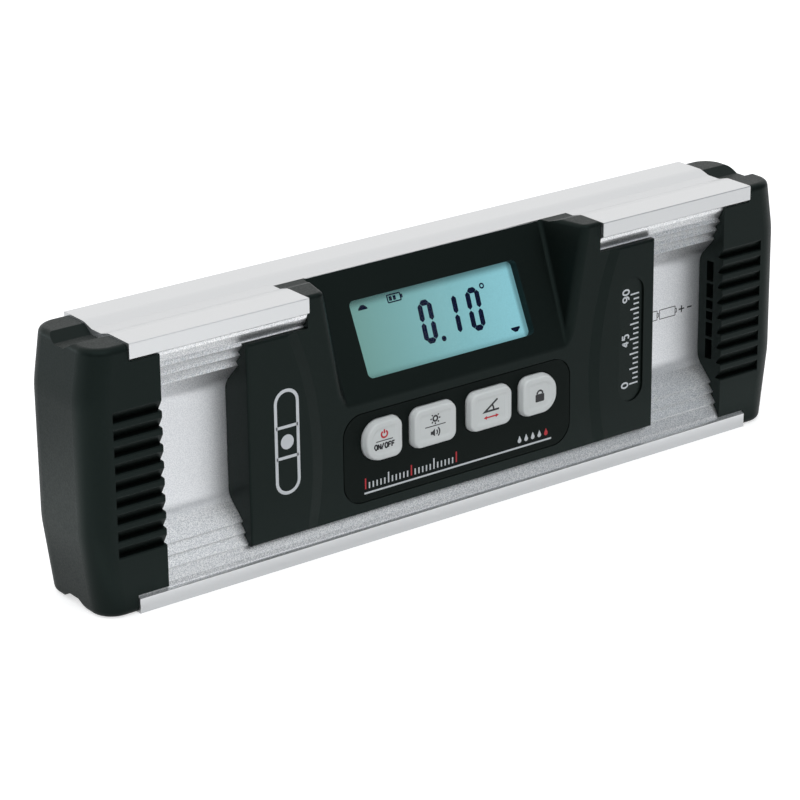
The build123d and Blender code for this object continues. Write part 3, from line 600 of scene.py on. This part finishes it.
def pale_floor():
    """Pale floor: lifted to white for the camera, and by place for gloss and glass.

    The mirrored lift is full near the front foot and weaker far in front, towards the right and
    behind. Under the level it falls off, and by the left cap's foot it is full again.
    """
    material, tree, shader, place = new_material("pale_floor")
    path = add_node(tree, "ShaderNodeLightPath").outputs
    parts = add_node(tree, "ShaderNodeSeparateXYZ", Vector=place).outputs
    x, y = parts["X"], parts["Y"]
    far = ramp(tree, x, FRONT_X, (FRONT_LIFT, FRONT_LIFT_RIGHT))
    near = ramp(tree, y, NEAR_Y, (0.0, NEAR_LIFT))
    behind = ramp(tree, y, BACK_Y, (1.0, BACK_SHARE))
    contact = ramp(tree, calc(tree, "ABSOLUTE", y), CONTACT_Y, (CONTACT_SHARE, 1.0))
    along = multiply(tree, contact, multiply(tree, larger(tree, far, near), behind))
    from_front = ramp(tree, y, SIDE_START_Y, FULL_SPAN)
    to_back = ramp(tree, y, SIDE_END_Y, (1.0, 0.0))
    by_left_foot = ramp(tree, x, SIDE_X, (SIDE_LIFT, 0.0))
    beside = multiply(tree, multiply(tree, from_front, to_back), by_left_foot)
    mirrored = larger(tree, path["Is Glossy Ray"], path["Is Transmission Ray"])
    in_gloss = multiply(tree, mirrored, larger(tree, along, beside))
    in_view = multiply(tree, path["Is Camera Ray"], FLOOR_LIFT)
    set_inputs(
        tree, shader,
        Emission_Strength=larger(tree, in_gloss, in_view),
        Emission_Color=WHITE,
        Base_Color=(0.72, 0.72, 0.72, 1.0),
        Roughness=0.9,
        Specular_IOR_Level=0.0,
    )
    return material


# Finishes of the frame's pieces, by the record's slots

cells = [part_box(name) for name in ("battery_inner", "battery_outer")]
cells_start, cells_end = cells[0][0].x, cells[1][1].x
beam_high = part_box("beam")[1]
COOL_SHEEN = (0.7, 1.0, 0.94, 1.0)

finishes = {
    "aluminium": blasted_aluminium(beam_high.y, beam_high.z / 2),
    "black_plastic": moulded(
        "black_plastic", colour(6, 10, 8), colour(9, 13, 11), rough=(0.36, 0.48),
        grain=2200.0, depth=0.012 * MM, specular=0.19, sheen=COOL_SHEEN,
    ),
    "keypad_black": moulded(
        "keypad_film", colour(6, 9, 7), colour(9, 12, 10), rough=(0.42, 0.5),
        grain=4000.0, depth=0.004 * MM, specular=0.1, sheen=COOL_SHEEN,
    ),
    "window": clear_window(),
    "display": moulded(
        "display_glass", colour(96, 130, 128), colour(110, 146, 142), rough=(0.2, 0.3),
        grain=900.0, depth=0.002 * MM,
    ),
    "light_guide": moulded(
        "light_guide", colour(214, 226, 228), colour(232, 240, 240), rough=(0.2, 0.3),
        grain=900.0, depth=0.002 * MM,
    ),
    "key_grey": moulded(
        "key_grey", colour(219, 222, 221), colour(226, 229, 228), rough=(0.42, 0.55),
        grain=3200.0, depth=0.006 * MM, specular=0.3,
    ),
    "inner_plastic": moulded(
        "inner_plastic", colour(44, 45, 47), colour(56, 57, 60), rough=(0.4, 0.55),
        grain=1800.0, depth=0.01 * MM,
    ),
    "seal_rubber": moulded(
        "seal_rubber", colour(34, 34, 35), colour(46, 46, 47), rough=(0.6, 0.8),
        grain=2400.0, depth=0.02 * MM, specular=0.3,
    ),
    "board_green": moulded(
        "board_green", colour(20, 74, 40), colour(36, 104, 58), rough=(0.25, 0.4),
        grain=700.0, depth=0.01 * MM,
    ),
    "ribbon_amber": moulded(
        "ribbon_amber", colour(176, 112, 40), colour(196, 132, 52), rough=(0.2, 0.32),
        grain=900.0, depth=0.004 * MM,
    ),
    "steel": plated_steel(),
    "cell_wrap": cell_wrap(cells_start, cells_end),
    "lead_cover": moulded(
        "lead_cover", colour(136, 26, 26), colour(158, 36, 34), rough=(0.4, 0.55),
        grain=2000.0, depth=0.01 * MM,
    ),
}
for part in frame["record"]["subparts"]:
    node = frame["nodes"][part["node"]]
    node.data.materials.clear()
    node.data.materials.append(finishes[part["material_slot"]])


def ink(name, low, high):
    """Matt printing ink."""
    return moulded(name, low, high, rough=(0.45, 0.6), grain=5000.0, depth=0.004 * MM)


white_ink = ink("white_ink", colour(206, 210, 214), colour(222, 225, 228))
red_ink = ink("red_ink", colour(188, 34, 44), colour(206, 48, 56))
black_ink = ink("black_ink", colour(30, 30, 33), colour(40, 40, 43))
segment_ink = moulded(
    "segment_ink", colour(10, 20, 52), colour(14, 26, 62), rough=(0.5, 0.6),
    grain=3000.0, depth=0.002 * MM, specular=0.1,
)


# Display: film and segments behind the window, drawn up from the crease

VIEW_WIDTH = 55.4
VIEW_HEIGHT = 20.79
VIEW_MIDDLE = 15.89
VIEW_MARGIN = 1.4
VIEW_CORNER = 1.2
DIGIT_BAR = 1.55
DIGIT_FOOT = 11.0
DIGIT_HEIGHT = 10.2
DIGIT_WIDTH = 3.1
DIGITS = ((-4.59, "abcdef"), (3.55, "bc"), (11.36, "abcdef"))
ARROW_WIDTH = 2.95
ARROW_RISE = 1.3
BATTERY_Z = 24.5


def panel_plane(depth):
    """The drawing plane parallel to the inclined panel, at a depth behind it."""
    up = (0, math.sin(PANEL_TILT), math.cos(PANEL_TILT))
    inward = np.array((0, math.cos(PANEL_TILT), -math.sin(PANEL_TILT)))
    return plane(np.array((0, CREASE_Y, CREASE_Z)) + depth * inward, (1, 0, 0), up)


view_side = VIEW_WIDTH / 2 * MM
film_middle = (
    CREASE_Z
    + VIEW_MIDDLE * MM * math.cos(PANEL_TILT)
    - DISPLAY_DEPTH * math.sin(PANEL_TILT)
)
film_reach = VIEW_HEIGHT / 2 * MM * math.cos(PANEL_TILT)
lit_film = lit_display(-view_side, view_side, film_middle - film_reach, film_middle + film_reach)
film = rounded_plate(
    0, VIEW_MIDDLE, VIEW_WIDTH + 2 * VIEW_MARGIN, VIEW_HEIGHT + 2 * VIEW_MARGIN, VIEW_CORNER,
)
marks(
    "display_film", [film], panel_plane(DISPLAY_DEPTH - FILM_THICKNESS),
    lit_film, sunk=FILM_THICKNESS / 2, proud=0.0,
)

reading = []
for left, lit in DIGITS:
    reading += segment_digit(left, DIGIT_FOOT, DIGIT_WIDTH, DIGIT_HEIGHT, DIGIT_BAR, lit)
point_and_degree = [disc(0.91, 10.66, 0.76), ring(17.21, 21.7, 0.6, 0.42)]
tilt_arrows = [
    arrow(-21.6, 23.4, ARROW_WIDTH, ARROW_RISE),
    arrow(24.4, 8.65, ARROW_WIDTH, -ARROW_RISE),
]
battery = [
    rounded_frame(-11.2, BATTERY_Z, 4.2, 2.0, 0.2, 0.36),
    line(-8.9, BATTERY_Z, -8.4, BATTERY_Z, 1.0),
    line(-12.8, BATTERY_Z, -11.9, BATTERY_Z, 1.2),
    line(-11.5, BATTERY_Z, -10.6, BATTERY_Z, 1.2),
]
marks(
    "display_segments", reading + point_and_degree + tilt_arrows + battery,
    panel_plane(DISPLAY_DEPTH - 2 * FILM_THICKNESS),
    segment_ink, sunk=FILM_THICKNESS / 2, proud=0.0,
)


# Key legends, printed in the dished fronts and drawn about each key's middle

KEY_DISH = 0.25 * MM
LEGEND_BAR = 0.5
FINE_BAR = 0.4
RULE_BAR = 0.25
POWER_Z = 1.75
SUN_Z = 2.0
SUN_RAYS = 8
SPEAKER_Z = -1.95
ANGLE_CORNER = (-2.2, -0.35)
ARROWS_Z = -2.1


def key_marks(key, name, bars, material):
    """Print a legend in one key's dish."""
    low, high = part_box(key + "_key")
    middle = ((low.x + high.x) / 2, low.y + KEY_DISH, (low.z + high.z) / 2)
    on = plane(middle, (1, 0, 0), (0, 0, 1))
    marks(key + "_" + name, bars, on, material, key + "_button")


power_sign = [
    stroke(arc_points(0, POWER_Z, 0.95, 125, 415), LEGEND_BAR),
    line(0, 1.9, 0, 3.05, LEGEND_BAR),
]
key_marks("power", "sign", power_sign, red_ink)
on_off = word("ON/OFF", -3.2, -2.2, height=1.4, bar=0.44, pitch=1.12)
key_marks("power", "words", on_off + [line(-2.7, 0, 2.7, 0, RULE_BAR)], black_ink)

sun = [ring(0, SUN_Z, 0.72, LEGEND_BAR)]
for ray in range(SUN_RAYS):
    angle = 2 * math.pi * ray / SUN_RAYS
    way = np.array([math.cos(angle), math.sin(angle)])
    start, end = (0, SUN_Z) + 1.15 * way, (0, SUN_Z) + 1.65 * way
    sun.append(line(*start, *end, FINE_BAR))
speaker = [
    line(-1.55, SPEAKER_Z, -0.9, SPEAKER_Z, 0.9),
    wedge(-0.95, SPEAKER_Z, -0.15, SPEAKER_Z, 0.9, 2.2),
    stroke(arc_points(-0.2, SPEAKER_Z, 0.85, -48, 48, 11), FINE_BAR),
    stroke(arc_points(-0.2, SPEAKER_Z, 1.6, -48, 48, 13), FINE_BAR),
]
key_marks("light", "signs", sun + [line(-3.4, 0, 3.4, 0, RULE_BAR)] + speaker, black_ink)

angle_sign = [
    stroke([(2.1, 2.6), ANGLE_CORNER, (2.6, ANGLE_CORNER[1])], 0.55),
    stroke(arc_points(*ANGLE_CORNER, 3.0, 3, 31, 10), LEGEND_BAR),
]
key_marks("mode", "sign", angle_sign, black_ink)
switch_sign = [
    line(-1.5, ARROWS_Z, 1.5, ARROWS_Z, FINE_BAR),
    wedge(-1.5, ARROWS_Z, -2.5, ARROWS_Z, 1.1, 0.08),
    wedge(1.5, ARROWS_Z, 2.5, ARROWS_Z, 1.1, 0.08),
]
key_marks("mode", "arrows", switch_sign, red_ink)

padlock = [
    rounded_plate(0, -0.75, 3.0, 2.2, 0.3),
    stroke(arc_points(0, 0.4, 0.95, 0, 180, 15), LEGEND_BAR),
]
key_marks("hold", "sign", padlock, black_ink)


# Prints on the keypad: a line with a tick scale and drops above it

UNDERLINE_Z = 13.8
UNDERLINE_HALF = 31.55
SCALE_STEP = 1.25
SCALE_START = -UNDERLINE_HALF + 0.4
SCALE_FOOT = UNDERLINE_Z + 1.2
SCALE_TICKS = 25
TICK_BAR = 0.42
DROP_Z = SCALE_FOOT + 0.65
DROP_RADIUS = 0.62

keypad_front = front_plane(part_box("keypad_panel")[0].y)
underline = line(-UNDERLINE_HALF, UNDERLINE_Z, UNDERLINE_HALF, UNDERLINE_Z, 0.5)
marks("keypad_line", [underline], keypad_front, white_ink)
white_ticks, red_ticks = [], []
for tick in range(SCALE_TICKS):
    tall = 3.0 if tick % 6 == 0 else 1.7
    x = SCALE_START + tick * SCALE_STEP
    ticks = red_ticks if tick % 12 == 0 else white_ticks
    ticks.append(line(x, SCALE_FOOT, x, SCALE_FOOT + tall, TICK_BAR))
marks("keypad_scale", white_ticks, keypad_front, white_ink)
marks("keypad_scale_ends", red_ticks, keypad_front, red_ink)
drops = [drop(x, DROP_Z, DROP_RADIUS) for x in (20.5, 22.8, 25.1, 27.4)]
marks("keypad_drops", drops, keypad_front, white_ink)
marks("keypad_drop_last", [drop(29.7, DROP_Z, DROP_RADIUS)], keypad_front, red_ink)


# Print on the left block: a vial sign

VIAL_X = -55.9
VIAL_Z = 34.7
VIAL_SIDE = 3.4
VIAL_LINE = 4.2

block_front = front_plane(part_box("front_housing")[0].y)
vial = [rounded_frame(VIAL_X, VIAL_Z, 2 * VIAL_SIDE, 28.0, 3.3, 0.9)]
for z in (VIAL_Z - VIAL_LINE, VIAL_Z + VIAL_LINE):
    vial.append(line(VIAL_X - VIAL_SIDE, z, VIAL_X + VIAL_SIDE, z, 0.8))
vial.append(disc(VIAL_X, VIAL_Z, 2.0))
marks("block_vial", vial, block_front, white_ink)


# Print in the right block's label recess, whose floor falls back to the right: a scale

LABEL_X = 55.2 * MM
LABEL_WIDTH = 8.6 * MM
LABEL_FALL = 0.5 * MM
LABEL_MIDDLE = 36.0 * MM
LABEL_STEP = 1.45
LABEL_TICK_END = 7.2
LABEL_TICK_BAR = 0.45
LABEL_LETTER = 2.3
LABEL_LETTER_BAR = 0.5
LABEL_PITCH = 2.1
LABEL_WORD_X = 3.4
LABEL_REACH = 9

label_run = math.hypot(LABEL_WIDTH, LABEL_FALL)
label = plane(
    (LABEL_X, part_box("front_housing")[0].y, LABEL_MIDDLE),
    (LABEL_WIDTH / label_run, LABEL_FALL / label_run, 0), (0, 0, 1),
)
label_bars = []
for tick in range(-LABEL_REACH, LABEL_REACH + 1):
    long = 3.2 if tick % 3 == 0 else 2.0
    z = tick * LABEL_STEP
    label_bars.append(line(LABEL_TICK_END - long, z, LABEL_TICK_END, z, LABEL_TICK_BAR))
for text, tick in (("0", -LABEL_REACH), ("45", 0), ("90", LABEL_REACH)):
    bars = word(text, 0, 0, LABEL_LETTER, LABEL_LETTER_BAR, LABEL_PITCH)
    wide = LABEL_PITCH * (len(text) - 1) + LETTER_WIDTH * LABEL_LETTER
    centred = moved(bars, -wide / 2, 0)
    label_bars += moved(centred, LABEL_WORD_X, tick * LABEL_STEP, quarter_turn=True)
marks("label_scale", label_bars, label, white_ink)


# Print on the web: two cells with their signs

CELLS_Z = 36.8
CELL_STARTS = (70.8, 77.5)
CELL_BAR = 0.22
SIGN_BAR = 0.42
PLUS_X = 85.7
PLUS_HALF = 1.0

web_front = front_plane(-WEB_Y)
cell_signs = []
for x in CELL_STARTS:
    cell_signs.append(rounded_frame(x + 2.9, CELLS_Z, 5.8, 2.7, 0.1, CELL_BAR))
    cell_signs.append(rounded_frame(x + 6.05, CELLS_Z, 0.5, 1.1, 0.05, CELL_BAR))
cell_signs += [
    line(PLUS_X - PLUS_HALF, CELLS_Z, PLUS_X + PLUS_HALF, CELLS_Z, SIGN_BAR),
    line(PLUS_X, CELLS_Z - PLUS_HALF, PLUS_X, CELLS_Z + PLUS_HALF, SIGN_BAR),
    line(87.8, CELLS_Z, 89.5, CELLS_Z, SIGN_BAR),
]
marks("web_cells", cell_signs, web_front, black_ink)


# Floor, light and camera

FLOOR_HALF = 3.0
BRIGHT_SIDE = Vector((0.0, 0.9, 0.44)).normalized()
SKY_SPAN = (-0.4, 0.7)
SKY_LEVEL = (0.12, 1.0)
SKY_TINT = (0.74, 0.88, 1.0, 1.0)
LEVEL_MIDDLE = Vector((0.0, 0.0, 0.035))
COOL = (0.86, 0.95, 1.0)

floor_mesh = bpy.data.meshes.new("floor")
floor_corners = [(-1, -1, 0), (1, -1, 0), (1, 1, 0), (-1, 1, 0)]
floor_mesh.from_pydata((FLOOR_HALF * np.array(floor_corners)).tolist(), [], [(0, 1, 2, 3)])
floor_mesh.materials.append(pale_floor())
floor = bpy.data.objects.new("floor", floor_mesh)
scene.collection.objects.link(floor)


def studio_world():
    """A plain sky, bright and white behind the level and dim and cool in front of it."""
    world = bpy.data.worlds.new("studio")
    world.use_nodes = True
    sky = world.node_tree
    direction = add_node(sky, "ShaderNodeTexCoord").outputs["Generated"]
    facing = add_node(sky, "ShaderNodeVectorMath", {"operation": "DOT_PRODUCT"})
    feed(sky, facing.inputs[0], direction)
    feed(sky, facing.inputs[1], BRIGHT_SIDE)
    level = ramp(sky, facing.outputs["Value"], SKY_SPAN, SKY_LEVEL)
    tint = blend(sky, level, SKY_TINT, WHITE)
    set_inputs(sky, sky.nodes["Background"], Strength=level, Color=tint)
    return world


def softbox(name, place, size, watts, tone=WHITE[:3]):
    """A rectangular area lamp at a place, turned to the level's middle."""
    lamp = bpy.data.lights.new(name, "AREA")
    lamp.shape = "RECTANGLE"
    lamp.size, lamp.size_y = size
    lamp.energy = watts
    lamp.color = tone
    made = bpy.data.objects.new(name, lamp)
    made.location = place
    made.rotation_euler = (LEVEL_MIDDLE - Vector(place)).to_track_quat("-Z", "Y").to_euler()
    scene.collection.objects.link(made)


def photo_camera():
    """The photograph's camera: its axes from the bearing and height, then turned by the roll."""
    angles = (CAMERA_BEARING, CAMERA_HEIGHT, CAMERA_ROLL)
    bearing, height, roll = (math.radians(angle) for angle in angles)
    back = Vector((
        math.sin(bearing) * math.cos(height),
        -math.cos(bearing) * math.cos(height),
        math.sin(height),
    ))
    level_right = Vector((math.cos(bearing), math.sin(bearing), 0.0))
    level_up = back.cross(level_right)
    right = math.cos(roll) * level_right + math.sin(roll) * level_up
    up = -math.sin(roll) * level_right + math.cos(roll) * level_up
    place = CAMERA_TARGET + CAMERA_DISTANCE * back
    data = bpy.data.cameras.new("camera")
    data.lens = CAMERA_LENS
    data.sensor_width = CAMERA_SENSOR
    data.clip_start = CAMERA_NEAREST
    made = bpy.data.objects.new("camera", data)
    made.matrix_world = Matrix((
        (right.x, up.x, back.x, place.x),
        (right.y, up.y, back.y, place.y),
        (right.z, up.z, back.z, place.z),
        (0.0, 0.0, 0.0, 1.0),
    ))
    scene.collection.objects.link(made)
    return made


scene.world = studio_world()
softbox("back_box", (-0.75, 1.0, 0.14), (1.2, 0.24), 1.5, COOL)
softbox("front_box", (0.25, -0.9, 0.85), (1.0, 1.3), 3.3)
softbox("top_box", (-0.7, -0.95, 1.35), (1.9, 1.9), 11.0)
scene.camera = photo_camera()
scene.view_settings.view_transform = "Standard"
